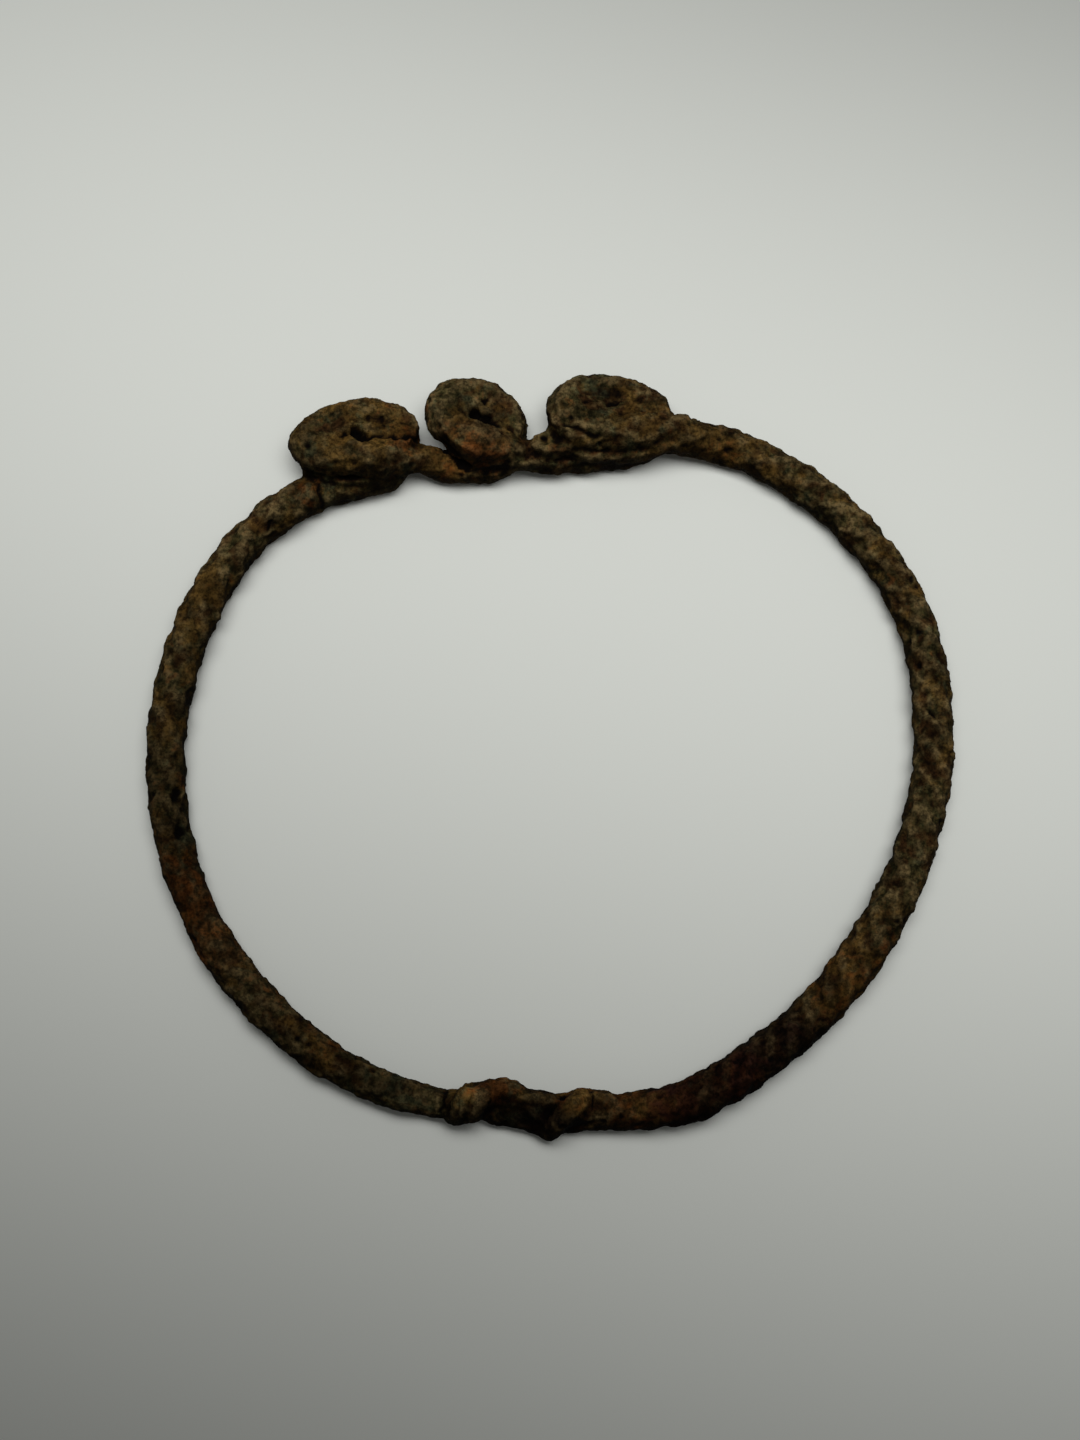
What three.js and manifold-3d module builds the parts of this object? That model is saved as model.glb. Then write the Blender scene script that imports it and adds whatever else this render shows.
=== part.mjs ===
// Forged iron bracelet: one twisted rod, bent to a hoop, curled into three loops and wrapped shut.
// Millimetres, +Z up. The hoop lies flat, with the loops at the back (+Y) and the closure at the front.
// Angles are in degrees, counted anticlockwise from +X as seen from above.
import * as THREE from 'three';
import { mergeVertices } from 'three/addons/utils/BufferGeometryUtils.js';
import Module from 'manifold-3d';

const wasm = await Module();
wasm.setup();

// The hoop: a circle a little taller than wide, bent in where the share is positive and out where it isn't.
// The oval and the bends are shares of the hoop's radius
const hoopRadius = 38.4;
const hoopOval = { share: 0.0286, towards: 83 };
const hoopBends = [
  { at: 94, share: 0.224, reach: 35 },
  { at: 268, share: 0.177, reach: 61 },
  { at: 265, share: 0.018, reach: 17 },
  { at: 63, share: -0.022, reach: 8 },
  { at: -28, share: 0.0365, reach: 28 },
  { at: 32, share: -0.009, reach: 26 },
  { at: 138, share: -0.012, reach: 10 },
  { at: 218, share: 0.010, reach: 34 },
  { at: 290, share: 0.011, reach: 22 },
  { at: 256, share: 0.006, reach: 8 },
  { at: 292, share: -0.017, reach: 8 },
  { at: 22, share: -0.008, reach: 7 },
];

// The rod: its thickness over the ridges, thinner by a share of itself towards the closure and on the left
const rodThickness = 4.3;
const rodThinning = [
  { at: 175, share: 0.07, reach: 45 },
  { at: 240, share: 0.14, reach: 24 },
  { at: 266, share: 0.349, reach: 18 },
  { at: -58, share: -0.07, reach: 18 },
  { at: -29, share: -0.1, reach: 9 },
  { at: 30, share: 0.07, reach: 26 },
  { at: 64, share: 0.07, reach: 8 },
  { at: 163, share: -0.06, reach: 9 },
  { at: 200, share: 0.06, reach: 10 },
];

// The twist: a square bar turned to the left, tightest at the lower right, where a turn is shorter by a share
const twistLead = 14;
const twistTightening = [
  { at: -52, share: 0.314, reach: 34 },
  { at: 2, share: 0.114, reach: 24 },
  { at: 60, share: -0.179, reach: 22 },
  { at: 150, share: -0.143, reach: 30 },
];

// Height of the ridges as a share of the rod's radius, worn away at the lower left
const ridgeShare = 0.09;
const ridgeWear = [{ at: 232, share: 0.055, reach: 42 }];

// The rod within the loops, how high one turn of it climbs, and how far it lies inside the hoop's line
const loopRod = 3.75;
const loopRidgeShare = 0.06;
const loopLead = 15;
const loopLift = 2.7;
const loopInset = 0.2;

// The loops, from left to right. Place on the hoop, overall width and clear gap inside; distance of the near
// strand from the hoop's line and lean against it; rise of the crown and its place along the loop; how much
// the two outer shoulders are drawn in; radius of the rod as it leaves and how far out it lands
const loops = [
  {
    at: 122, width: 12.6, gap: 0.3, nest: 1.3, lean: -14,
    crown: 0.7, skew: 1.4, leftTuck: 0.65, rightTuck: 0, neck: 1.5, landing: 0.1,
  },
  {
    at: 102.8, width: 10.5, gap: 0.3, nest: 1.9, lean: -20,
    crown: 0.3, skew: 0, leftTuck: 0, rightTuck: 0.15, neck: 1.6, landing: 0.2,
  },
  {
    at: 79, width: 12.7, gap: 0.4, nest: 1, lean: -5,
    crown: 0.35, skew: -1.6, leftTuck: 0, rightTuck: 0.4, neck: 2, landing: 0.3,
  },
];

// Angles that the plain hoop keeps clear of the loops and of the closure, and between its stops
const clearOfFirstLoop = 12;
const clearOfLastLoop = 17.5;
const clearOfClaspLeft = 14;
const clearOfClaspRight = 12;
const stopSpacing = 6.5;

// The closure: each end is drawn thin, runs beside the other and is wrapped round it. The right end's wrap
// starts low on the outside, counted in turns from the inside of the hoop
const claspAt = 266.7;
const claspInset = 0.35;
const claspHalfLength = 6.7;
const strandRadius = 1.3;
const strandSpread = 1.05;
const strandArch = 0.75;
const tipRadius = 0.85;
const wrapStart = 0.625;
const wrapTurns = 1.875;
const wrapAdvance = 1.5;
const wrapLean = 0.15;
const hookReach = 4.7;
const hookBack = 2.8;
const leftKnobRadius = 0.9;
const rightKnobRadius = 1.2;
const knobFlatness = 0.9;

// The underside is worn flat where the bracelet lies on it
const wornFlat = 0.2;

// Fineness of the mesh: sides of the section, and the largest turn, bend and step between sections
const barSides = 4;
const sectionSides = 2 * barSides;
const ringTwist = THREE.MathUtils.degToRad(27);
const ringBend = THREE.MathUtils.degToRad(24);
const ringStep = 1.25;

const up = new THREE.Vector3(0, 0, 1);
const rad = THREE.MathUtils.degToRad;

// Sum of soft bumps along the hoop, each with its highest value at its own angle
function bumps(list, angle) {
  let sum = 0;
  for (const bump of list) {
    const away = THREE.MathUtils.euclideanModulo(angle - bump.at + 180, 360) - 180;
    sum += bump.share * Math.exp(-((away / bump.reach) ** 2));
  }
  return sum;
}

function hoopPoint(angle) {
  const oval = hoopOval.share * Math.cos(rad(2 * (angle - hoopOval.towards)));
  const radius = hoopRadius * (1 + oval - bumps(hoopBends, angle));
  return new THREE.Vector3(radius * Math.cos(rad(angle)), radius * Math.sin(rad(angle)), 0);
}

// Directions at a place on the hoop: along it (clockwise from above) and outwards
function hoopFrame(angle) {
  const along = hoopPoint(angle - 0.5).sub(hoopPoint(angle + 0.5)).normalize();
  const out = up.clone().cross(along);
  return { origin: hoopPoint(angle), along, out };
}

// A stop on the rod's centreline, placed in a frame, with the rod's radius, twist lead and ridge height.
// Lift is how far the rod is raised off the ground there, and join says that a new run of the rod starts
function place(frame, along, out, lift, radius, join = false) {
  const point = frame.origin.clone();
  point.addScaledVector(frame.along, along);
  point.addScaledVector(frame.out, out);
  point.z = radius - wornFlat + lift;
  return { point, radius, lead: loopLead, ridge: loopRidgeShare, join };
}

// A stop on the plain hoop
function hoopStop(angle) {
  const radius = (rodThickness * (1 - bumps(rodThinning, angle))) / 2;
  const lead = twistLead * (1 - bumps(twistTightening, angle));
  const ridge = ridgeShare - bumps(ridgeWear, angle);
  return { ...place(hoopFrame(angle), 0, 0, 0, radius), lead, ridge };
}

function hoopStops(from, to) {
  const count = Math.round((from - to) / stopSpacing);
  const stops = [];
  for (let i = 0; i <= count; i += 1) stops.push(hoopStop(from + ((to - from) * i) / count));
  return stops;
}

// One loop: the rod runs under it, up round the right end, back over the top and down the left end,
// and then crosses over itself to the right
function loopStops(loop) {
  const frame = hoopFrame(loop.at);
  const radius = loopRod / 2;
  const half = loop.width / 2 - radius;
  const bend = radius + loop.gap / 2;
  const straight = half - bend;
  const centre = frame.origin.clone().addScaledVector(frame.out, bend + loop.nest);
  const leaning = { origin: centre };
  leaning.along = frame.along.clone().applyAxisAngle(up, rad(loop.lean));
  leaning.out = frame.out.clone().applyAxisAngle(up, rad(loop.lean));
  const turn = (side, angle, share, tuck = 0) => {
    const along = side * (straight + bend * Math.cos(rad(angle)) - tuck / 3);
    return place(leaning, along, bend * Math.sin(rad(angle)) - tuck, share * loopLift, radius);
  };
  const top = place(leaning, loop.skew, bend + loop.crown, 0.5 * loopLift, radius, true);
  return [
    place(frame, -0.75 * half, -loopInset, 0, radius),
    place(frame, 0, -loopInset, 0, radius),
    place(frame, 0.6 * half, 0, 0, radius),
    turn(1, -18, 0.1),
    turn(1, 12, 0.2),
    turn(1, 52, 0.32, loop.rightTuck),
    top,
    turn(-1, 52, 0.68, loop.leftTuck),
    turn(-1, 0, 0.84),
    turn(-1, -52, 0.96),
    place(leaning, 0, -bend, loopLift, radius),
    place(leaning, 0.5 * half, -bend - 0.05 * radius, loopLift, radius),
    place(frame, half + 0.7 * radius, loop.landing, 0.5 * loopLift, loop.neck),
  ];
}

// Frame of the closure: along runs to the right, out runs towards the inside of the hoop
function claspFrame() {
  const frame = hoopFrame(claspAt);
  const along = frame.along.clone().negate();
  const out = frame.out.clone().negate();
  return { origin: frame.origin.addScaledVector(out, claspInset), along, out };
}

// The left end: it rises over the other strand, runs beside it and hooks back over the right rod
function leftStrand() {
  const frame = claspFrame();
  const half = claspHalfLength;
  const thick = strandRadius;
  const host = -0.35 * strandSpread;
  const over = 1.8 * thick;
  const ontoWrap = 2 * tipRadius - 0.4 * thick;
  const hook = 1.3 * tipRadius;
  return [
    place(frame, hookReach - hookBack, host - thick, 0.7 * thick, 0.75 * rightKnobRadius),
    place(frame, hookReach - 0.7 * hookBack, host - 0.4 * thick, over, hook),
    place(frame, hookReach - 0.25 * hookBack, host + 0.77 * thick, 0.92 * over, 1.1 * hook),
    place(frame, hookReach, strandSpread + 0.2 * thick, 0.62 * thick, hook),
    place(frame, 0.5 * hookReach, strandSpread - 0.5 * thick, 0, 0.85 * thick),
    place(frame, 0.05 * half, 0.6 * strandSpread, 0.08 * thick, 0.95 * thick),
    place(frame, -0.34 * half, strandSpread + 0.4 * strandArch, 0.4 * thick, 1.15 * thick),
    place(frame, -0.6 * half, strandSpread + 0.15 * thick, ontoWrap, 1.05 * thick),
    place(frame, -0.88 * half, 0.15 * strandSpread, ontoWrap - 0.22 * thick, 1.05 * thick),
  ];
}

// The right end: it runs outside the other strand, dives under it and is wrapped round it
function rightStrand() {
  const frame = claspFrame();
  const half = claspHalfLength;
  const start = -0.57 * half;
  const hostLift = 0.54 * strandRadius - wornFlat + 2 * tipRadius;
  const hostOut = 0.4 * strandSpread;
  const reach = strandRadius + 0.08 * tipRadius;
  const stops = [
    place(frame, 0.7 * half, -0.2 * strandSpread, 0, 1.15 * strandRadius),
    place(frame, 0.35 * half, -0.75 * strandSpread, 0, 1.04 * strandRadius),
    place(frame, 0, -0.85 * strandSpread, 0, strandRadius),
    place(frame, -0.28 * half, -0.65 * strandSpread, 0, 0.9 * strandRadius, true),
  ];
  const stepsPerTurn = 8;
  const steps = Math.round(wrapTurns * stepsPerTurn);
  for (let i = 0; i <= steps; i += 1) {
    const turned = i / stepsPerTurn;
    const done = i / steps;
    const angle = 2 * Math.PI * (turned + wrapStart);
    const along = start - wrapAdvance * turned + wrapLean * Math.cos(angle);
    const out = hostOut * (1 - 0.3 * done) + reach * Math.cos(angle);
    const turn = place(frame, along, out, 0, tipRadius * (1 - 0.1 * done));
    turn.point.z = hostLift + reach * Math.sin(angle);
    turn.join = i % (stepsPerTurn / 2) === 0 && i > 0 && i < steps;
    stops.push(turn);
  }
  return stops;
}

// The whole rod from the tip of the left end to the tip of the right end
function rodStops() {
  const first = loops[0];
  const last = loops[loops.length - 1];
  return [
    ...leftStrand(),
    ...hoopStops(claspAt - clearOfClaspLeft, first.at + clearOfFirstLoop),
    ...loops.flatMap(loopStops),
    ...hoopStops(last.at - clearOfLastLoop, claspAt - 360 + clearOfClaspRight),
    ...rightStrand(),
  ];
}

// Sections along the rod, close together where it twists or bends fast, split where it has to be joined
function rodSections(stops) {
  const curve = new THREE.CatmullRomCurve3(stops.map((s) => s.point), false, 'centripetal');
  const last = stops.length - 1;
  const fine = 40;
  const runs = [[]];
  const walk = { twist: 0, sinceTwist: 0, sinceStep: 0, before: curve.getPoint(0), tangent: null };
  for (let i = 0; i <= last * fine; i += 1) {
    const t = i / (last * fine);
    const k = Math.min(Math.floor(i / fine), last - 1);
    const mix = i / fine - k;
    const [a, b] = [stops[k], stops[k + 1]];
    const here = curve.getPoint(t);
    const tangent = curve.getTangent(t);
    const lead = THREE.MathUtils.lerp(a.lead, b.lead, mix);
    const moved = here.distanceTo(walk.before);
    walk.before = here;
    walk.twist += (2 * Math.PI * moved) / lead;
    walk.sinceTwist += (2 * Math.PI * moved) / lead;
    walk.sinceStep += moved;
    const bent = walk.tangent ? tangent.angleTo(walk.tangent) : Infinity;
    const join = i % fine === 0 && i > 0 && stops[i / fine].join;
    const due = walk.sinceTwist > ringTwist || walk.sinceStep > ringStep || bent > ringBend;
    if (!due && !join && i < last * fine) continue;
    const section = {
      centre: here,
      tangent,
      twist: walk.twist,
      radius: THREE.MathUtils.lerp(a.radius, b.radius, mix),
      ridge: THREE.MathUtils.lerp(a.ridge, b.ridge, mix),
    };
    runs[runs.length - 1].push(section);
    if (join) runs.push([section]);
    Object.assign(walk, { sinceTwist: 0, sinceStep: 0, tangent });
  }
  return runs;
}

// Corners of one section: a square bar with hollowed faces, turned by the twist
function sectionCorners({ centre, tangent, twist, radius, ridge }) {
  const side = tangent.clone().cross(up).normalize();
  const lift = side.clone().cross(tangent).normalize();
  const corners = [];
  for (let k = 0; k < sectionSides; k += 1) {
    const angle = (2 * Math.PI * k) / sectionSides;
    const reach = radius * (1 - ridge * (1 - Math.cos(barSides * angle)));
    const corner = centre.clone();
    corner.addScaledVector(side, reach * Math.cos(angle + twist));
    corner.addScaledVector(lift, reach * Math.sin(angle + twist));
    corners.push(corner);
  }
  return corners;
}

// A closed solid through a run of sections
function runSolid(sections) {
  const vertices = [];
  const triangles = [];
  const add = (point) => vertices.push(point.x, point.y, point.z) / 3 - 1;
  const rings = sections.map((section) => sectionCorners(section).map(add));
  const capStart = add(sections[0].centre);
  const capEnd = add(sections[sections.length - 1].centre);
  for (let k = 0; k < sectionSides; k += 1) {
    const next = (k + 1) % sectionSides;
    for (let i = 0; i + 1 < rings.length; i += 1) {
      const [a, b, c, d] = [rings[i][k], rings[i][next], rings[i + 1][next], rings[i + 1][k]];
      triangles.push(a, b, d, b, c, d);
    }
    triangles.push(capStart, rings[0][next], rings[0][k]);
    triangles.push(capEnd, rings[rings.length - 1][k], rings[rings.length - 1][next]);
  }
  return solidOf(vertices, triangles);
}

// A manifold solid whose faces point outwards
function solidOf(vertices, triangles) {
  const mesh = (order) => new wasm.Mesh({
    numProp: 3,
    vertProperties: new Float32Array(vertices),
    triVerts: new Uint32Array(order),
  });
  const solid = new wasm.Manifold(mesh(triangles));
  return solid.volume() > 0 ? solid : new wasm.Manifold(mesh([...triangles].reverse()));
}

function geometrySolid(geometry) {
  geometry.deleteAttribute('normal');
  geometry.deleteAttribute('uv');
  const merged = mergeVertices(geometry, 1e-4);
  return solidOf([...merged.attributes.position.array], [...merged.index.array]);
}

// A knob on the tip of an end, a little flattened, no lower than the ground allows
function knob(section, radius) {
  const ball = new THREE.IcosahedronGeometry(radius, 2);
  ball.scale(1, 1, knobFlatness);
  const height = Math.max(section.centre.z, radius * knobFlatness - wornFlat);
  ball.translate(section.centre.x, section.centre.y, height);
  return geometrySolid(ball);
}

// Everything below the ground is worn away
function ground() {
  const size = 4 * hoopRadius;
  const block = new THREE.BoxGeometry(size, size, size);
  block.translate(0, 0, -size / 2);
  return geometrySolid(block);
}

function braceletGeometry() {
  const runs = rodSections(rodStops());
  let solid = runSolid(runs[0]);
  for (const run of runs.slice(1)) solid = solid.add(runSolid(run));
  const lastRun = runs[runs.length - 1];
  solid = solid.add(knob(runs[0][0], rightKnobRadius));
  solid = solid.add(knob(lastRun[lastRun.length - 1], leftKnobRadius));
  solid = solid.subtract(ground());
  // Pockets sealed between the strands are filled: only the outer skin is kept
  const skins = solid.decompose().sort((a, b) => b.volume() - a.volume());
  const mesh = skins[0].getMesh();
  const geometry = new THREE.BufferGeometry();
  geometry.setAttribute('position', new THREE.BufferAttribute(mesh.vertProperties, 3));
  geometry.setIndex(new THREE.BufferAttribute(mesh.triVerts, 1));
  geometry.computeBoundingBox();
  const { min, max } = geometry.boundingBox;
  geometry.translate(-(min.x + max.x) / 2, -(min.y + max.y) / 2, -min.z);
  return geometry;
}

const rustedIron = new THREE.MeshStandardMaterial({ color: 0x4d3b2a, roughness: 0.88, metalness: 0.1 });

const bracelet = new THREE.Mesh(braceletGeometry(), rustedIron);
bracelet.name = 'bracelet';

const group = new THREE.Group();
group.add(bracelet);

export default group;
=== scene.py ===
from collections import namedtuple

import bpy
import numpy as np
from bpy.props import FloatProperty, FloatVectorProperty, IntProperty, PointerProperty
from bpy.types import Operator, Panel, PropertyGroup
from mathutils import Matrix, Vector, noise


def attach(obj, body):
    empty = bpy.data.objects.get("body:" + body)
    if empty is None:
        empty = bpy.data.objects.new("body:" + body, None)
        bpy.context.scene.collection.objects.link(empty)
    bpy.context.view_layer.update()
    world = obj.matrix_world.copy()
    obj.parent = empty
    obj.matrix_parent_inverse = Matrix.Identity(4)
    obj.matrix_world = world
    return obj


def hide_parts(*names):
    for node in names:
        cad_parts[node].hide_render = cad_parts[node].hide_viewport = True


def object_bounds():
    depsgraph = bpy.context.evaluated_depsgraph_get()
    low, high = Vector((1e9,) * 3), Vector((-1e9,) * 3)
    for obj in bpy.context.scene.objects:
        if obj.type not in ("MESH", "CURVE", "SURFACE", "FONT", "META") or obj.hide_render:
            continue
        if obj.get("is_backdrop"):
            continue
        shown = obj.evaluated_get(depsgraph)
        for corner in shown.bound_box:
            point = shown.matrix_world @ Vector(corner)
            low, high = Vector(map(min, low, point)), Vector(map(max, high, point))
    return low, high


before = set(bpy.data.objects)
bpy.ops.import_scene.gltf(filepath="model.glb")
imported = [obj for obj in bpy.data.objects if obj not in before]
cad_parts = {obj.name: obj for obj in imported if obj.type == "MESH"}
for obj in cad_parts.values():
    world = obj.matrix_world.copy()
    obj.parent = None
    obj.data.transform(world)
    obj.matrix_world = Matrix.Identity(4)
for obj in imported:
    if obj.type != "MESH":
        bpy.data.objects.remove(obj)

bl_info = {
    "name": "Rusted iron bracelet",
    "version": (1, 0, 0),
    "blender": (4, 5, 0),
    "location": "3D View > Sidebar > Bracelet",
    "description": "Dresses the forged bracelet in corroded iron and sets it on a pale studio floor",
    "category": "Object",
}

NODE = "bracelet"
PIECE = "iron_bracelet"
BODY = "root"
CAD_LOW, CAD_HIGH = (np.array(corner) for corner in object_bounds())
MM = 0.001

# Seed of the noise that makes edges ragged, which would follow the clock if none were set
NOISE_SEED = 1
# Depth of a valley of the twist that holds a full crevice, and length over which crevices come and go
FULL_VALLEY = 0.16 * MM
CREVICE_LENGTH = 1.9 * MM
# Radius of a pit as a share of the spacing of the pits
PIT_REACH = 0.3
# Rounds of smoothing behind the measure of how far a place stands out, which sets its colour
RELIEF_ROUNDS = 40
# Direction from the rod to the light, up and to the back: faces turned to it keep their full colour, and
# faces turned away get painted shade
LIT_FROM = (0.0, 0.75, 1.05)
# Places nearer than this to the top of the solid's box, or above it, are eased down
TOP_EASE = 0.3 * MM
# Share of a colour patch's reach inside which it has its full strength
PATCH_CORE = 0.35


# Marks of age and of painted shade on the rod, in millimetres in the frame of the part. A mark runs from
# start to end as seen from above, falls off over reach, and is depth deep, or stands proud where depth is
# negative. Its dirt and shade goes from 0 for none to 1 for a black mark: dirt and painted shade in the pits,
# the eyes of the loops and the clefts, and painted shadow along the line under the middle loop.
Mark = namedtuple("Mark", "name start end reach depth dirt")

MARKS = (
    Mark("eye of the left loop", (-18.6, 30.1), (-18.0, 29.6), 0.5, 1.3, 1.0),
    Mark("pit beside the left eye", (-19.8, 29.75), (-19.6, 29.7), 0.25, 0.4, 0.8),
    Mark("cleft right of the left eye", (-17.3, 29.75), (-12.8, 29.7), 0.22, 0.4, 0.75),
    Mark("eye of the middle loop", (-7.0, 31.8), (-5.8, 31.6), 0.5, 1.2, 1.0),
    Mark("pit above the middle eye", (-6.4, 33.3), (-6.2, 33.1), 0.3, 0.5, 0.8),
    # Painted shadow along the lower edge of the middle loop, over a shallow groove, in this mark and the next
    Mark("line under the middle loop", (-10.4, 29.2), (-8.2, 27.1), 0.38, 0.25, 0.8),
    Mark("rest of the line under it", (-8.0, 26.8), (-4.2, 26.9), 0.3, 0.25, 0.7),
    Mark("hollow in the right loop", (4.0, 34.4), (6.4, 34.0), 0.9, 0.4, 0.45),
    Mark("lower end of that hollow", (5.6, 33.0), (6.7, 33.3), 0.35, 0.3, 0.75),
    Mark("cleft left of the right strand", (1.2, 30.6), (4.5, 29.3), 0.28, 0.3, 0.75),
    Mark("pit between the right loops", (-0.7, 29.7), (-0.5, 29.5), 0.4, 0.4, 0.9),
    Mark("end of the left rod", (-22.4, 25.2), (-21.7, 22.2), 0.25, 0.3, 0.75),
    Mark("bulb before it", (-23.8, 24.2), (-23.3, 24.6), 0.9, -0.35, 0.0),
    Mark("bump after the right loop", (12.6, 32.4), (13.3, 32.2), 0.7, -0.3, 0.0),
    Mark("upper pit on the left", (-35.1, -5.1), (-35.1, -4.5), 0.35, 0.4, 0.8),
    Mark("lower pit on the left", (-34.7, -8.7), (-34.5, -8.0), 0.4, 0.4, 0.9),
    Mark("pit at the upper left", (-27.2, 21.0), (-26.7, 21.4), 0.3, 0.4, 0.8),
    Mark("waist at the upper left", (-29.4, 23.0), (-27.2, 20.4), 0.8, 0.25, 0.1),
    Mark("pit on the right", (35.7, 3.2), (36.1, 2.7), 0.3, 0.35, 0.8),
    Mark("pit at the upper right", (16.8, 29.0), (17.2, 28.7), 0.28, 0.3, 0.7),
    Mark("end of the left wraps", (-9.5, -31.5), (-10.1, -34.0), 0.22, 0.3, 0.75),
    Mark("line between the left wraps", (-8.2, -31.2), (-8.5, -34.4), 0.18, 0.2, 0.5),
    Mark("cleft between the strands", (-5.0, -32.7), (-1.2, -33.3), 0.25, 0.12, 0.5),
    Mark("top of the left wraps", (-7.9, -30.7), (-6.5, -30.4), 0.9, 0.6, 0.0),
    Mark("edge of the hook", (3.7, -31.9), (3.8, -33.6), 0.18, 0.28, 0.65),
)

# Lumps of rust that close the eyes of the loops and the gaps under them and in the closure, in millimetres
# and degrees: the centre of the upper face, the half sizes, the thickness, the turn on the plan, and how
# steeply the face climbs to the front and to the left
Web = namedtuple("Web", "name centre half thickness turn front left")

WEBS = (
    Web("left loop", (-18.3, 30.35, 4.95), (5.7, 3.3), 2.2, 8, 15, 9),
    Web("middle loop", (-6.9, 31.4, 5.15), (4.2, 3.9), 2.2, -30, 13, 10),
    Web("right loop", (5.8, 32.6, 5.05), (5.6, 3.1), 2.2, -3, 18, 8),
    Web("under the left loop", (-19.6, 26.7, 3.7), (4.4, 1.2), 1.8, -4, 0, 0),
    Web("under the middle loop", (-5.6, 28.3, 3.9), (4.2, 1.3), 1.8, -8, 0, 0),
    Web("left of the right loop", (0.6, 29.3, 4.6), (2.5, 1.4), 3.0, 10, 10, 0),
    Web("under the right loop", (6.0, 28.8, 4.2), (4.8, 1.1), 2.2, 0, -8, 0),
    Web("between the strands", (-4.2, -33.1, 2.75), (4.2, 1.6), 2.2, -9, -22, 0),
    Web("beside the hook", (3.6, -33.4, 3.1), (2.6, 1.3), 2.6, 10, 0, 0),
    Web("left of the hook", (-0.5, -33.5, 3.0), (1.9, 1.3), 2.4, -20, -10, 0),
)

# Patches of colour as seen from above, in millimetres. A patch fades out at reach and counts by its strength.
# The dark and light ones darken or lighten what is there, the dark ones partly with painted shade, and the
# loop ones keep the painted shade of the twist's grooves off the loops.
Patch = namedtuple("Patch", "name centre reach strength")

OCHRE_PATCHES = (
    Patch("left loop", (-18.8, 29.5), 7.0, 1.0),
    Patch("between the left loops", (-10.8, 27.6), 3.5, 1.2),
    Patch("right loop", (8.1, 32.2), 4.0, 0.6),
    Patch("rod after the right loop", (17.0, 29.5), 9.0, 0.7),
    Patch("left rod", (-34.0, 8.0), 12.0, 0.4),
    Patch("right rod", (33.0, 8.0), 12.0, 0.4),
    Patch("lower right rod", (26.6, -21.6), 5.5, 1.2),
    Patch("rod right of the closure", (9.6, -31.6), 5.0, 1.4),
    Patch("left wraps", (-8.1, -32.0), 1.9, 1.8),
    Patch("hook", (2.0, -32.6), 2.4, 1.8),
)
ORANGE_PATCHES = (
    Patch("lower left rod", (-32.3, -16.2), 9.0, 1.0),
    Patch("lower right rod", (26.9, -21.8), 6.5, 0.6),
    Patch("rod right of the closure", (13.6, -33.5), 6.0, 0.6),
    Patch("rod before the left loop", (-23.6, 24.3), 2.5, 0.6),
    Patch("left of the middle loop", (-9.5, 28.6), 3.5, 0.7),
    Patch("hook", (2.0, -32.8), 2.6, 0.6),
    Patch("foot of the middle loop", (-5.5, 28.6), 3.0, 0.7),
    Patch("right side of the left loop", (-13.8, 29.6), 2.6, 0.8),
    Patch("right of the hook", (9.5, -32.3), 6.5, 0.9),
    Patch("strand of the closure", (-4.8, -31.8), 3.0, 0.9),
    Patch("inside of the lower right rod", (17.5, -30.6), 3.5, 1.3),
)
GREEN_PATCHES = (
    Patch("rod left of the closure", (-12.9, -32.2), 8.0, 0.7),
    Patch("left rod", (-33.7, -10.2), 4.0, 1.0),
    Patch("middle loop", (-6.4, 32.3), 6.0, 0.3),
    Patch("back of the right loop", (4.6, 34.8), 4.0, 0.5),
    Patch("foot of the left loop", (-14.0, 27.3), 3.0, 0.7),
    Patch("left end of the left loop", (-22.0, 26.0), 4.0, 0.8),
    Patch("foot of the right loop", (6.0, 29.8), 5.0, 0.3),
    Patch("closure", (-3.0, -33.6), 3.5, 1.0),
)
# The broad patches are darker crust; those on the knobs, the front of the closure and the outside of the rod
# are painted shade on the lower and outer halves
DARK_AND_SHADED_PATCHES = (
    Patch("lower right rod", (17.5, -31.5), 15.0, 0.65),
    Patch("knob of the hook", (-1.0, -36.2), 6.0, 1.2),
    Patch("lower left rod", (-22.0, -29.0), 17.0, 0.65),
    Patch("left rod", (-35.0, -6.0), 17.0, 0.72),
    Patch("upper left rod", (-33.0, 11.0), 10.0, 0.3),
    Patch("right rod", (32.0, -16.0), 10.0, 0.2),
    Patch("knob of the left wraps", (-9.0, -35.2), 2.2, 1.0),
    Patch("front of the closure", (-5.0, -35.2), 3.2, 1.0),
    Patch("outside right of the hook", (5.6, -35.9), 2.8, 1.0),
    Patch("outside of the rod, first", (9.8, -36.0), 2.8, 1.0),
    Patch("outside of the rod, second", (13.8, -35.4), 3.2, 1.0),
    Patch("outside of the rod, third", (18.0, -33.8), 3.4, 1.0),
    Patch("outside of the rod, fourth", (21.8, -31.2), 3.4, 1.0),
    Patch("outside of the rod, last", (25.0, -28.2), 3.4, 0.8),
)
PURPLE_PATCHES = (
    Patch("lower right rod", (17.0, -31.0), 16.0, 1.0),
    Patch("knob of the hook", (-1.0, -36.2), 6.0, 1.0),
)
LIGHT_PATCHES = (
    Patch("left wraps", (-8.1, -32.1), 1.9, 1.0),
    Patch("hook", (1.9, -32.4), 2.4, 1.2),
)
LOOP_PATCHES = (
    Patch("left loop", (-18.0, 31.0), 11.0, 1.0),
    Patch("middle loop", (-6.5, 31.5), 11.0, 1.0),
    Patch("right loop", (6.0, 32.0), 11.0, 1.0),
)


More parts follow.
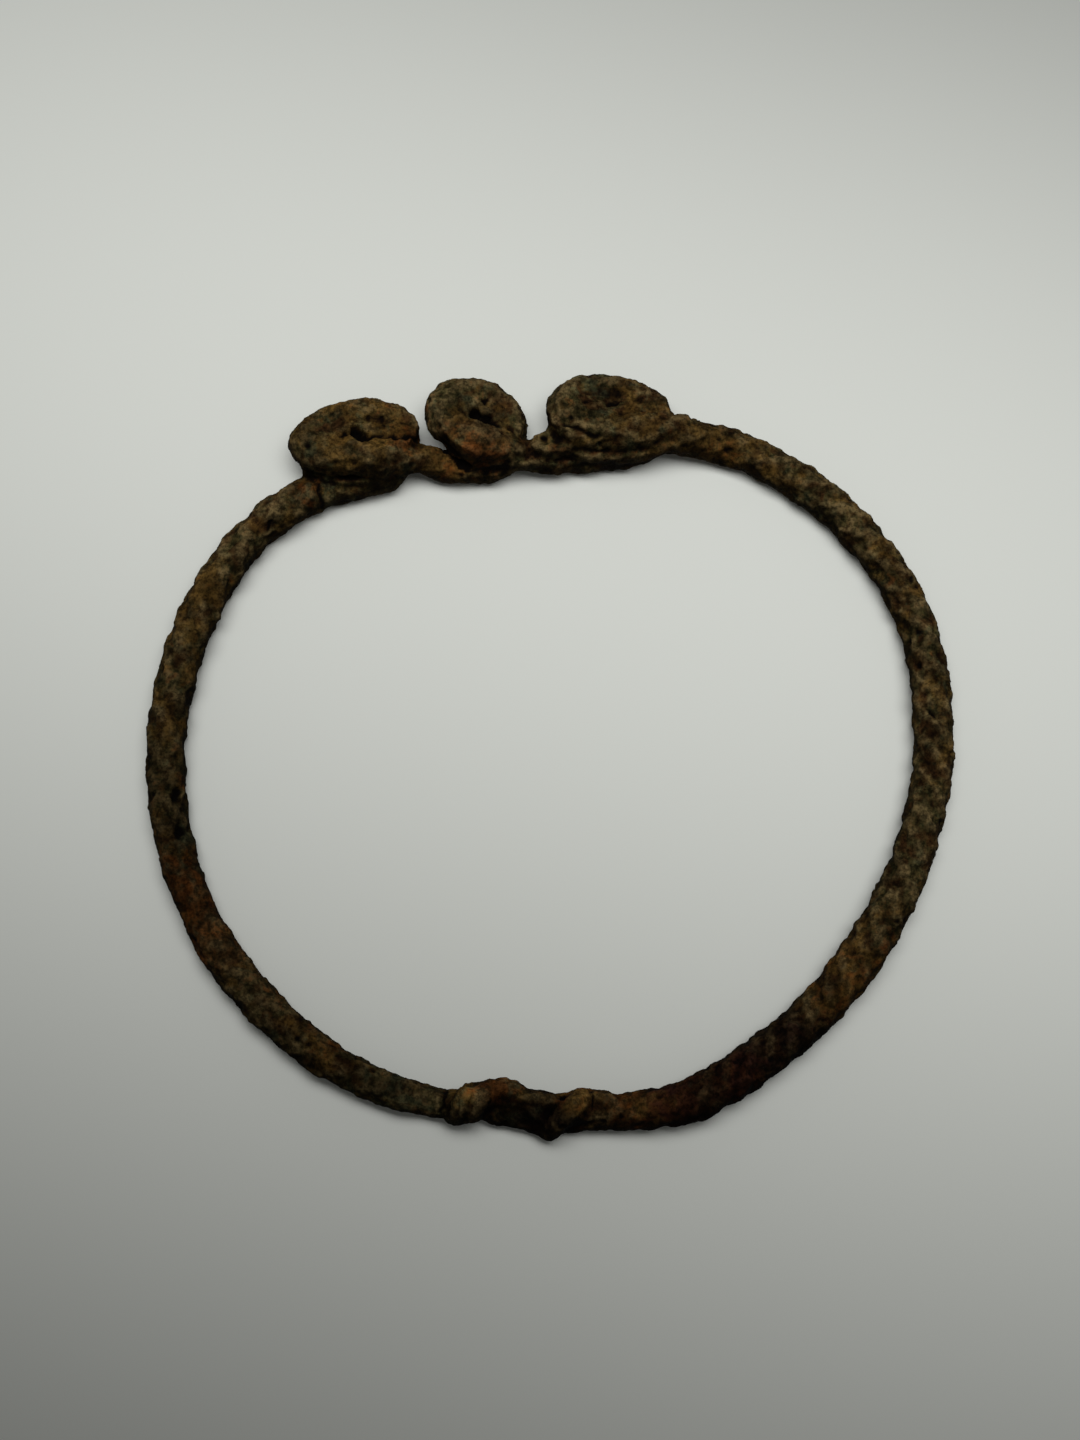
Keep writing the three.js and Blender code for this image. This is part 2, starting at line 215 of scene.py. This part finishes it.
class RodSettings(PropertyGroup):
    """Sizes of the corroded surface."""

    voxel: FloatProperty(
        name="Mesh fineness",
        description="Edge length of the mesh of the corroded rod",
        default=0.23 * MM, min=0.1 * MM, precision=5, unit="LENGTH",
    )
    softening: IntProperty(
        name="Softening",
        description="Rounds of smoothing that take the facets off the forged solid",
        default=6, min=0,
    )
    crevice_depth: FloatProperty(
        name="Crevice depth",
        description="Depth of the broken crevices along the valleys of the twist",
        default=0.3 * MM, min=0.0, precision=5, unit="LENGTH",
    )
    flank_rounds: IntProperty(
        name="Flank wear",
        description="Rounds of smoothing that take the ridges of the twist off the flanks",
        default=20, min=0,
    )
    crust: FloatProperty(
        name="Crust thickness",
        description="How far the rust stands out all over from the forged solid",
        default=0.18 * MM, precision=5, unit="LENGTH",
    )
    ridge_rounds: IntProperty(
        name="Ridge width",
        description="Rounds of smoothing that set how broad a form counts as a ridge",
        default=60, min=1,
    )
    swell_size: FloatProperty(
        name="Swelling size",
        description="Width of the broad swellings of the rust",
        default=3.2 * MM, precision=5, unit="LENGTH",
    )
    swell_depth: FloatProperty(
        name="Swelling depth",
        description="Height of the broad swellings from low to high",
        default=0.38 * MM, precision=5, unit="LENGTH",
    )
    lump_size: FloatProperty(
        name="Lump size",
        description="Width of the lumps in the crust",
        default=1.1 * MM, precision=5, unit="LENGTH",
    )
    lump_depth: FloatProperty(
        name="Lump depth",
        description="Height of the lumps from low to high",
        default=0.32 * MM, precision=5, unit="LENGTH",
    )
    grain_size: FloatProperty(
        name="Grain size",
        description="Width of the grains of the crust",
        default=0.6 * MM, precision=5, unit="LENGTH",
    )
    grain_depth: FloatProperty(
        name="Grain depth",
        description="Height of the grains from low to high",
        default=0.27 * MM, precision=5, unit="LENGTH",
    )
    scale_size: FloatProperty(
        name="Scale size",
        description="Width of the cracked scales of the crust",
        default=1.5 * MM, precision=5, unit="LENGTH",
    )
    scale_depth: FloatProperty(
        name="Scale depth",
        description="Height of the scales above the cracks between them",
        default=0.25 * MM, precision=5, unit="LENGTH",
    )
    pit_spacing: FloatProperty(
        name="Pit spacing",
        description="Distance between places where the rust may have pitted",
        default=1.6 * MM, precision=5, unit="LENGTH",
    )
    pit_depth: FloatProperty(
        name="Pit depth",
        description="Depth of the small pits scattered over the rod",
        default=0.24 * MM, min=0.0, precision=5, unit="LENGTH",
    )


class RustColours(PropertyGroup):
    """Colours of the corroded iron, each in linear red, green and blue."""

    brown: FloatVectorProperty(
        name="Brown", description="Plain crust over most of the rod",
        subtype="COLOR", default=(0.031, 0.0160, 0.0055), min=0.0, max=1.0,
    )
    olive: FloatVectorProperty(
        name="Olive", description="Greenish brown crust",
        subtype="COLOR", default=(0.027, 0.0245, 0.0085), min=0.0, max=1.0,
    )
    umber: FloatVectorProperty(
        name="Umber", description="Red brown crust in the valleys of the twist",
        subtype="COLOR", default=(0.024, 0.0100, 0.0035), min=0.0, max=1.0,
    )
    tan: FloatVectorProperty(
        name="Tan", description="Pale crust on ridges and lumps",
        subtype="COLOR", default=(0.100, 0.070, 0.030), min=0.0, max=1.0,
    )
    ochre: FloatVectorProperty(
        name="Ochre", description="Yellow brown crust in soft blotches",
        subtype="COLOR", default=(0.080, 0.044, 0.010), min=0.0, max=1.0,
    )
    rust: FloatVectorProperty(
        name="Orange rust", description="Fresh orange rust in patches",
        subtype="COLOR", default=(0.072, 0.019, 0.0030), min=0.0, max=1.0,
    )
    lichen: FloatVectorProperty(
        name="Grey green", description="Grey green bloom in patches",
        subtype="COLOR", default=(0.038, 0.043, 0.021), min=0.0, max=1.0,
    )
    purple: FloatVectorProperty(
        name="Purple black", description="Dark crust towards the closure",
        subtype="COLOR", default=(0.013, 0.0052, 0.0060), min=0.0, max=1.0,
    )
    # Black for dirt, and painted shade in hollows, pits, clefts and the eyes of the loops
    soot_and_shade: FloatVectorProperty(
        name="Black", description="Dirt in hollows, pits and clefts",
        subtype="COLOR", default=(0.0022, 0.0015, 0.0012), min=0.0, max=1.0,
    )


class StageSettings(PropertyGroup):
    """Floor, light and camera."""

    floor_size: FloatProperty(
        name="Floor size", description="Side of the square floor",
        default=3.0, unit="LENGTH",
    )
    floor_colour: FloatVectorProperty(
        name="Floor", description="Colour of the pale floor",
        subtype="COLOR", default=(0.78, 0.80, 0.75), min=0.0, max=1.0,
    )
    sky: FloatProperty(
        name="Room light", description="Strength of the even light from all round",
        default=0.09, min=0.0,
    )
    key_power: FloatProperty(
        name="Main light", description="Power of the large soft light above the loops",
        default=0.081, min=0.0, unit="POWER",
    )
    key_place: FloatVectorProperty(
        name="Main light place", description="Where the main light hangs",
        subtype="TRANSLATION", unit="LENGTH", precision=4, default=(0.007, 0.041, 0.18),
    )
    key_aim: FloatVectorProperty(
        name="Main light aim", description="What the main light points at",
        subtype="TRANSLATION", unit="LENGTH", precision=4, default=(0.004, 0.030, 0.0),
    )
    key_width: FloatProperty(
        name="Main light width", description="Length of the main light from left to right",
        default=0.26, min=0.0, unit="LENGTH",
    )
    key_height: FloatProperty(
        name="Main light height", description="Length of the main light from front to back",
        default=0.08, min=0.0, unit="LENGTH",
    )
    key_spread: FloatProperty(
        name="Main light spread", description="Angle over which the main light shines",
        default=np.radians(72), min=0.0, subtype="ANGLE",
    )
    lens: FloatProperty(
        name="Lens", description="Focal length of the camera",
        default=50.0, unit="CAMERA",
    )
    camera_place: FloatVectorProperty(
        name="Camera place", description="Where the camera stands",
        subtype="TRANSLATION", unit="LENGTH", precision=4,
        default=(-1.0 * MM, -30.4 * MM, 189.1 * MM),
    )
    camera_aim: FloatVectorProperty(
        name="Camera aim", description="What the camera looks at",
        subtype="TRANSLATION", unit="LENGTH", precision=4,
        default=(-1.0 * MM, 2.6 * MM, 2.0 * MM),
    )


# Helpers for making meshes

def deselect_all():
    for thing in bpy.context.selected_objects:
        thing.select_set(False)


def make_active(thing):
    deselect_all()
    thing.select_set(True)
    bpy.context.view_layer.objects.active = thing


def add_modifier(thing, kind, name, **settings):
    """Adds a modifier with its settings and applies it."""
    make_active(thing)
    modifier = thing.modifiers.new(name, kind)
    for key, value in settings.items():
        setattr(modifier, key, value)
    bpy.ops.object.modifier_apply(modifier=modifier.name)


def coordinates(mesh):
    values = np.empty(len(mesh.vertices) * 3, np.float32)
    mesh.vertices.foreach_get("co", values)
    return values.reshape(-1, 3).astype(float)


def normals(mesh):
    values = np.empty(len(mesh.vertices) * 3, np.float32)
    mesh.vertex_normals.foreach_get("vector", values)
    return values.reshape(-1, 3).astype(float)


def set_coordinates(mesh, values):
    mesh.vertices.foreach_set("co", values.astype(np.float32).ravel())
    mesh.update()


def neighbour_mean(mesh):
    """A function that gives every vertex the mean of its neighbours' values."""
    pairs = np.empty(len(mesh.edges) * 2, np.int32)
    mesh.edges.foreach_get("vertices", pairs)
    ends = np.concatenate([pairs[0::2], pairs[1::2]])
    others = np.concatenate([pairs[1::2], pairs[0::2]])
    size = len(mesh.vertices)
    count = np.maximum(np.bincount(ends, minlength=size), 1)

    def mean(values):
        columns = [np.bincount(ends, values[others, k], size) / count for k in range(values.shape[1])]
        return np.stack(columns, axis=1)

    return mean


def smoothed(mesh, values, rounds):
    mean = neighbour_mean(mesh)
    for _ in range(rounds):
        values = 0.5 * values + 0.5 * mean(values)
    return values


def relief(mesh, rounds):
    """How far each vertex stands out from the form smoothed over that many rounds."""
    here = coordinates(mesh)
    return np.einsum("ij,ij->i", here - smoothed(mesh, here, rounds), normals(mesh))


def set_attribute(mesh, name, values):
    attribute = mesh.attributes.get(name) or mesh.attributes.new(name, "FLOAT", "POINT")
    attribute.data.foreach_set("value", values.astype(np.float32))


# Making the rod

def copy_of_node():
    """A copy of the CAD solid, with its loose triangles merged."""
    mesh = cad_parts[NODE].data.copy()
    mesh.materials.clear()
    piece = bpy.data.objects.new(PIECE, mesh)
    mesh.name = PIECE
    bpy.context.scene.collection.objects.link(piece)
    make_active(piece)
    bpy.ops.object.mode_set(mode="EDIT")
    bpy.ops.mesh.select_all(action="SELECT")
    bpy.ops.mesh.remove_doubles(threshold=0.002 * MM)
    bpy.ops.object.mode_set(mode="OBJECT")
    return piece


def add_webs(piece):
    """Joins the lumps of rust to the rod."""
    webs = []
    for web in WEBS:
        deselect_all()
        x, y, top = web.centre
        bpy.ops.mesh.primitive_cylinder_add(
            vertices=48, radius=MM, depth=web.thickness * MM,
            location=Vector((x, y, top - web.thickness / 2)) * MM, scale=(*web.half, 1.0),
            rotation=(-np.radians(web.front), np.radians(web.left), np.radians(web.turn)),
        )
        webs.append(bpy.context.object)
    make_active(piece)
    for web in webs:
        web.select_set(True)
    bpy.ops.object.join()


def wander(here, size, reach):
    """The same places moved about by up to reach, so that what is drawn there has ragged edges."""
    moves = np.array([noise.noise_vector(Vector(point) / size) for point in here])
    return here + reach * moves


def ease_flanks(mesh, rounds):
    """Smooths the flanks, where the ridges of the twist are worn, and leaves the top as it is."""
    here = coordinates(mesh)
    upright = smoothed(mesh, normals(mesh), rounds=12)[:, 2]
    share = np.clip(1.3 - 1.5 * np.abs(upright), 0.0, 1.0)
    set_coordinates(mesh, here + share[:, None] * (smoothed(mesh, here, rounds) - here))


def painted_side_shade(mesh):
    """Painted shade, as a share of darkness: 0 on faces that look up or to the back towards the main light,
    up to 1 on faces that look to the front or sideways, and less again underneath.
    """
    facing = normals(mesh)
    upright = facing[:, 2]
    lit = np.clip(facing @ LIT_FROM, 0.0, 1.0) * np.clip(upright * 1.6 + 0.15, 0.0, 1.0)
    under = np.clip(-1.5 * upright, 0.0, 1.0)
    return (1.0 - lit) ** 1.3 * (1.0 - 0.35 * under)


def press_crevices(mesh, sizes, twist):
    """Lays on the crust, with broken crevices along the valleys, and returns how dark each vertex is painted
    there: dirt and painted shade in the crevices.
    """
    here = coordinates(mesh)
    valley = np.clip(-twist / FULL_VALLEY, 0.0, 1.0) ** 2
    broken = np.array([noise.noise(Vector(point) / CREVICE_LENGTH) for point in here])
    depth = valley * np.clip(broken * 2.2 + 0.75, 0.0, 1.0)
    rise = sizes.crust - sizes.crevice_depth * depth
    set_coordinates(mesh, here + normals(mesh) * rise[:, None])
    return depth * 0.9


def press_pits(mesh, sizes):
    """Presses small ragged pits, in clusters, and returns how dark each vertex is painted there: dirt and
    painted shade in the pits.
    """
    here = coordinates(mesh)
    ragged = wander(here, size=0.5 * MM, reach=0.25 * MM)
    dirt = np.zeros(len(here))
    for k, point in enumerate(ragged):
        distances, centres = noise.voronoi(Vector(point) / sizes.pit_spacing)
        depth = max(0.0, 1.0 - distances[0] / PIT_REACH)
        cluster = noise.noise(centres[0] * 0.35) * 1.6 + noise.noise(centres[0] * 7.3)
        dirt[k] = depth * min(max(cluster * 2.0 + 0.3, 0.0), 1.0)
    dirt = dirt ** 0.7
    set_coordinates(mesh, here - normals(mesh) * (sizes.pit_depth * dirt)[:, None])
    return dirt


def press_marks(mesh):
    """Presses the marks into the upper side and returns how dark each vertex is painted: dirt and painted
    shade in the pits, eyes and clefts, and painted shadow under the middle loop.
    """
    here = coordinates(mesh)
    facing = normals(mesh)
    plan = wander(here, size=0.6 * MM, reach=0.3 * MM)[:, :2] / MM
    up = np.clip(facing[:, 2] * 2.0 + 0.6, 0.0, 1.0)
    push = np.zeros(len(here))
    dirt = np.zeros(len(here))
    for mark in MARKS:
        start = np.array(mark.start)
        run = np.array(mark.end) - start
        share = np.clip(((plan - start) @ run) / (run @ run), 0.0, 1.0)
        away = np.linalg.norm(plan - start - share[:, None] * run, axis=1)
        fade = np.exp(-((away / mark.reach) ** 2)) * up
        push -= mark.depth * MM * fade
        dirt = np.maximum(dirt, mark.dirt * fade)
    set_coordinates(mesh, here + facing * push[:, None])
    return dirt


def displace(piece, name, size, depth, kind="CLOUDS", **settings):
    """Raises and sinks the surface by a texture, evenly about where it was."""
    texture = bpy.data.textures.new(name, kind)
    texture.noise_scale = size
    for key, value in settings.items():
        setattr(texture, key, value)
    add_modifier(
        piece, "DISPLACE", name,
        texture=texture, texture_coords="LOCAL", direction="NORMAL", strength=depth, mid_level=0.5,
    )
    bpy.data.textures.remove(texture)


def keep_in_box(mesh):
    """Eases the highest places down below the top of the solid's box and holds the rest inside it."""
    here = coordinates(mesh)
    over = np.maximum(here[:, 2] - (CAD_HIGH[2] - TOP_EASE), 0.0)
    here[:, 2] += TOP_EASE * (1.0 - np.exp(-over / TOP_EASE)) - over
    set_coordinates(mesh, np.clip(here, CAD_LOW, CAD_HIGH))


class BRACELET_OT_rod(Operator):
    """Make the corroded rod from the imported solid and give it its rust"""

    bl_idname = "bracelet.rod"
    bl_label = "Corroded rod"

    def execute(self, context):
        sizes = context.scene.bracelet_rod
        noise.seed_set(NOISE_SEED)
        piece = copy_of_node()
        add_webs(piece)
        add_modifier(piece, "REMESH", "Even mesh", mode="VOXEL", voxel_size=sizes.voxel)
        add_modifier(piece, "SMOOTH", "Facets off", factor=0.5, iterations=sizes.softening)
        mesh = piece.data
        ease_flanks(mesh, sizes.flank_rounds)
        twist = relief(mesh, sizes.ridge_rounds)
        crevices = press_crevices(mesh, sizes, twist)
        displace(piece, "Swellings", sizes.swell_size, sizes.swell_depth, noise_depth=1)
        displace(piece, "Lumps", sizes.lump_size, sizes.lump_depth, noise_depth=2)
        cracks = {"kind": "VORONOI", "weight_1": -1.0, "weight_2": 1.0}
        displace(piece, "Scales", sizes.scale_size, sizes.scale_depth, **cracks)
        dirt = np.maximum(press_marks(mesh), crevices)
        dirt = np.maximum(dirt, press_pits(mesh, sizes))
        displace(piece, "Grains", sizes.grain_size, sizes.grain_depth, noise_depth=2)
        keep_in_box(mesh)
        set_attribute(mesh, "twist", twist / MM)
        # Black for dirt and painted shade in the crevices, pits and marks
        set_attribute(mesh, "dirt", dirt)
        set_attribute(mesh, "relief", relief(mesh, RELIEF_ROUNDS) / MM)
        # Painted shade on the faces turned away from the main light, kept in the colour
        set_attribute(mesh, "side", painted_side_shade(mesh))
        mesh.materials.append(corroded_iron(context.scene.bracelet_colours))
        make_active(piece)
        bpy.ops.object.shade_smooth()
        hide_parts(NODE)
        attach(piece, BODY)
        return {"FINISHED"}


# Shader maths

class Value:
    """A number or colour that varies over a surface: one socket, with the operators of arithmetic."""

    def __init__(self, maker, socket):
        self.maker = maker
        self.socket = socket

    def math(self, operation, *operands):
        sockets = dict(enumerate(operands))
        return self.maker.value("ShaderNodeMath", {"operation": operation}, sockets)

    def __add__(self, other):
        return self.math("ADD", self, other)

    __radd__ = __add__

    def __sub__(self, other):
        return self.math("SUBTRACT", self, other)

    def __rsub__(self, other):
        return self.math("SUBTRACT", other, self)

    def __mul__(self, other):
        return self.math("MULTIPLY", self, other)

    __rmul__ = __mul__

    def clamped(self):
        return self.maker.value("ShaderNodeClamp", {}, {"Value": self})


class ShaderMaker:
    """Adds nodes to one material."""

    def __init__(self, name):
        self.material = bpy.data.materials.new(name)
        self.material.use_nodes = True
        self.tree = self.material.node_tree
        self.tree.nodes.clear()

    def node(self, kind, settings=None, sockets=None):
        """Adds a node: first its settings, then the values or links of its sockets."""
        made = self.tree.nodes.new(kind)
        for key, value in (settings or {}).items():
            setattr(made, key, value)
        for key, value in (sockets or {}).items():
            if isinstance(value, Value):
                self.tree.links.new(value.socket, made.inputs[key])
            else:
                made.inputs[key].default_value = value
        return made

    def value(self, kind, settings=None, sockets=None, output=0):
        return Value(self, self.node(kind, settings, sockets).outputs[output])

    def place(self):
        return self.value("ShaderNodeTexCoord", output="Object")

    def noise(self, place, size, detail=3.0, roughness=0.6, distortion=0.0):
        """Soft noise from 0 to 1 whose blotches are about size wide, in metres."""
        sockets = {
            "Vector": place, "Scale": 1.0 / size, "Detail": detail,
            "Roughness": roughness, "Distortion": distortion,
        }
        return self.value("ShaderNodeTexNoise", {}, sockets)

    def moved(self, place, offset):
        """Places moved by an offset, so that two noises don't fall together."""
        return self.value("ShaderNodeVectorMath", {"operation": "ADD"}, {0: place, 1: offset})

    def band(self, value, low, high):
        """A soft step from 0 at low to 1 at high; high may be the lower of the two."""
        settings = {"interpolation_type": "SMOOTHSTEP"}
        return self.value("ShaderNodeMapRange", settings, {"Value": value, "From Min": low, "From Max": high})

    def mix(self, factor, first, second, blend="MIX"):
        """Colour first where factor is 0, and second where it is 1."""
        settings = {"data_type": "RGBA", "blend_type": blend}
        sockets = {0: factor, 6: colour(first), 7: colour(second)}
        return self.value("ShaderNodeMix", settings, sockets, output=2)

    def attribute(self, name):
        return self.value("ShaderNodeAttribute", {"attribute_name": name}, output="Fac")

    def plan(self, place):
        """The place as seen from above, with no height."""
        return self.value("ShaderNodeVectorMath", {"operation": "MULTIPLY"}, {0: place, 1: (1.0, 1.0, 0.0)})

    def patches(self, plan, spots):
        """The sum of some patches, each with its full strength at its centre and 0 from its reach on."""
        total = 0.0
        for spot in spots:
            centre = (spot.centre[0] * MM, spot.centre[1] * MM, 0.0)
            settings = {"operation": "DISTANCE"}
            away = self.value("ShaderNodeVectorMath", settings, {0: plan, 1: centre}, output="Value")
            total = total + self.band(away, spot.reach * MM, PATCH_CORE * spot.reach * MM) * spot.strength
        return total

    def surface(self, sockets, constants):
        """Ends the material with one shader."""
        shader = self.node("ShaderNodeBsdfPrincipled", {}, {**constants, **sockets})
        self.node("ShaderNodeOutputMaterial", {}, {"Surface": Value(self, shader.outputs[0])})
        return self.material


def colour(value):
    """A colour with its alpha, or a link as it is."""
    return value if isinstance(value, Value) else (*value[:3], 1.0)


def rust_colour(make, place, colours, noises, stands_out):
    """The crust's own colours, before shade and dirt: brown and olive, tan where it stands out, and the
    patches of other rusts.
    """
    broad, mottle, speckle = noises["broad"], noises["mottle"], noises["speckle"]
    plan = make.plan(place)
    crust = make.mix(make.band(mottle, 0.38, 0.62), colours.brown, colours.olive)
    crust = make.mix(make.band(stands_out + (mottle - 0.5) * 0.6, 0.02, -0.16) * 0.8, crust, colours.umber)
    pale = make.band(stands_out * 1.7 + (speckle - 0.5) * 0.5 + (mottle - 0.5) * 0.7, -0.02, 0.48)
    crust = make.mix(pale * 0.75, crust, colours.tan)

    warm = make.noise(make.moved(place, (0.02, 0.06, 0.01)), 2.4 * MM, detail=4, roughness=0.6)
    ochre = make.band(warm + make.patches(plan, OCHRE_PATCHES) * 0.13 + (broad - 0.5) * 0.2, 0.50, 0.72)
    crust = make.mix(ochre * 0.75, crust, colours.ochre)

    orange = mottle * 0.7 + speckle * 0.3 + make.patches(plan, ORANGE_PATCHES) * 0.13 + (broad - 0.5) * 0.3
    crust = make.mix(make.band(orange, 0.53, 0.72) * 0.75, crust, colours.rust)

    bloom = make.noise(make.moved(place, (0.07, 0.02, 0.04)), 1.5 * MM, detail=4, roughness=0.6)
    green = make.band(bloom + make.patches(plan, GREEN_PATCHES) * 0.14 - (broad - 0.5) * 0.25, 0.57, 0.76)
    crust = make.mix(green * 0.65, crust, colours.lichen)

    purple = make.patches(plan, PURPLE_PATCHES) + (mottle - 0.5) * 1.2 + (warm - 0.5) * 0.8
    return make.mix(make.band(purple, 0.55, 1.25) * 0.8, crust, colours.purple)


def rust_tone(make, place, noises):
    """How light the crust is: fine grain, soft blotches, darker crust and painted shade in the dark patches,
    light patches, painted shade on the flanks turned away from the main light, and painted shade in the
    grooves of the twist.
    """
    plan = make.plan(place)
    fine = make.band(noises["speckle"] * 0.5 + noises["grain"] * 0.5, 0.39, 0.61)
    shade = make.band(make.noise(make.moved(place, (0.05, 0.03, 0.09)), 2.2 * MM, detail=3), 0.36, 0.62)
    # Darker crust in the broad patches, and painted shade on the lower and outer halves of the closure and
    # the lower right rod
    dark_and_shaded = make.patches(plan, DARK_AND_SHADED_PATCHES).clamped()
    tone = (0.38 + 0.98 * fine) * (0.52 + 0.65 * shade) * (1.0 - 0.62 * dark_and_shaded)
    light = make.patches(plan, LIGHT_PATCHES)
    # Painted shade on the flanks turned away from the main light, and the light patches
    tone = tone * (1.0 - 0.82 * make.attribute("side")) * (1.42 + 0.9 * light)
    # Painted shade in the grooves of the twist, broken up and kept off the loops
    painted_groove_shade = make.band(make.attribute("twist") + (noises["mottle"] - 0.5) * 0.25, 0.12, 0.0)
    broken = make.band(noises["broad"], 0.36, 0.56)
    loops = make.patches(plan, LOOP_PATCHES).clamped()
    return tone * (1.05 - 0.45 * (painted_groove_shade * broken * (1.0 - loops)))


def corroded_iron(colours):
    """Matt granular rust, black in its hollows with dirt and painted shade, and with painted shade on its
    flanks.
    """
    make = ShaderMaker("Corroded iron")
    place = make.place()
    noises = {
        "broad": make.noise(place, 9 * MM, detail=3),
        "mottle": make.noise(make.moved(place, (0.03, 0.01, 0.02)), 1.9 * MM, detail=5, distortion=0.4),
        "speckle": make.noise(make.moved(place, (0.01, 0.05, 0.02)), 0.65 * MM, detail=4, roughness=0.65),
        "grain": make.noise(place, 0.3 * MM, detail=3, roughness=0.7),
    }
    speckle, grain = noises["speckle"], noises["grain"]
    stands_out = make.attribute("relief")
    crust = rust_colour(make, place, colours, noises, stands_out)
    crust = make.mix(1.0, crust, rust_tone(make, place, noises), blend="MULTIPLY")

    # Black for dirt and painted shade where the surface lies below its surroundings
    hollow_dirt_and_shade = make.band(stands_out + (speckle - 0.5) * 0.5, 0.03, -0.25)
    crust = make.mix(hollow_dirt_and_shade * 0.9, crust, colours.soot_and_shade)
    # Black for dirt and painted shade in the crevices, pits and marks
    dirt = make.band(make.attribute("dirt") + (grain - 0.5) * 0.3, 0.15, 0.75)
    crust = make.mix(dirt, crust, colours.soot_and_shade)

    height = grain * 0.6 + speckle * 0.8
    bump = make.value("ShaderNodeBump", {}, {"Strength": 0.9, "Distance": 0.16 * MM, "Height": height})
    roughness = 0.86 + (speckle - 0.5) * 0.2
    return make.surface(
        {"Base Color": crust, "Roughness": roughness, "Normal": bump},
        {"Specular IOR Level": 0.02, "Metallic": 0.0},
    )


def pale_floor_material(tone):
    make = ShaderMaker("Pale floor")
    return make.surface({}, {"Base Color": colour(tone), "Roughness": 0.9, "Specular IOR Level": 0.1})


# Floor, light and camera

def add_floor(settings):
    deselect_all()
    bpy.ops.mesh.primitive_plane_add(size=settings.floor_size, location=(0, 0, 0))
    floor = bpy.context.object
    floor.name = "pale_floor"
    floor.data.materials.append(pale_floor_material(settings.floor_colour))
    floor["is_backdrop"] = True


def add_room_light(scene, settings):
    world = bpy.data.worlds.new("Room")
    world.use_nodes = True
    background = world.node_tree.nodes["Background"]
    background.inputs["Color"].default_value = (1.0, 1.0, 0.98, 1.0)
    background.inputs["Strength"].default_value = settings.sky
    scene.world = world


def turn_towards(thing, place, aim):
    """Turns a light or camera at a place so that it looks at aim, with its top away from the front."""
    thing.rotation_mode = "QUATERNION"
    thing.rotation_quaternion = (aim - place).to_track_quat("-Z", "Y")


def add_main_light(settings):
    place = Vector(settings.key_place)
    deselect_all()
    bpy.ops.object.light_add(type="AREA", location=place)
    light = bpy.context.object
    light.name = "Main light"
    light.data.shape = "RECTANGLE"
    light.data.size = settings.key_width
    light.data.size_y = settings.key_height
    light.data.spread = settings.key_spread
    light.data.energy = settings.key_power
    light.visible_camera = False
    turn_towards(light, place, Vector(settings.key_aim))


def add_camera(scene, settings):
    place = Vector(settings.camera_place)
    deselect_all()
    bpy.ops.object.camera_add(location=place)
    camera = bpy.context.object
    camera.name = "Camera"
    camera.data.lens = settings.lens
    camera.data.sensor_width = 36.0
    camera.data.clip_start = 0.01
    turn_towards(camera, place, Vector(settings.camera_aim))
    scene.camera = camera
    scene.view_settings.view_transform = "Standard"


class BRACELET_OT_stage(Operator):
    """Set up the pale floor, the soft studio light and the camera"""

    bl_idname = "bracelet.stage"
    bl_label = "Studio stage"

    def execute(self, context):
        settings = context.scene.bracelet_stage
        add_floor(settings)
        add_room_light(context.scene, settings)
        add_main_light(settings)
        add_camera(context.scene, settings)
        return {"FINISHED"}


# Panel and registration

class BRACELET_PT_panel(Panel):
    """Lists what makes the bracelet, and its settings"""

    bl_idname = "BRACELET_PT_panel"
    bl_label = "Rusted iron bracelet"
    bl_space_type = "VIEW_3D"
    bl_region_type = "UI"
    bl_category = "Bracelet"

    def draw(self, context):
        for operator, groups in SECTIONS:
            box = self.layout.box()
            box.operator(operator.bl_idname)
            for group in groups:
                for name in GROUPS[group].__annotations__:
                    box.prop(getattr(context.scene, group), name)


GROUPS = {
    "bracelet_rod": RodSettings,
    "bracelet_colours": RustColours,
    "bracelet_stage": StageSettings,
}
# Each operator with the groups of settings that it uses
SECTIONS = (
    (BRACELET_OT_rod, ("bracelet_rod", "bracelet_colours")),
    (BRACELET_OT_stage, ("bracelet_stage",)),
)
CLASSES = (*GROUPS.values(), BRACELET_OT_rod, BRACELET_OT_stage, BRACELET_PT_panel)


def register():
    for kind in CLASSES:
        bpy.utils.register_class(kind)
    for name, kind in GROUPS.items():
        setattr(bpy.types.Scene, name, PointerProperty(type=kind))


def unregister():
    for name in GROUPS:
        delattr(bpy.types.Scene, name)
    for kind in reversed(CLASSES):
        bpy.utils.unregister_class(kind)


def main():
    register()
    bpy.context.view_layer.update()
    bpy.ops.bracelet.rod()
    bpy.ops.bracelet.stage()


if __name__ == "__main__":
    main()
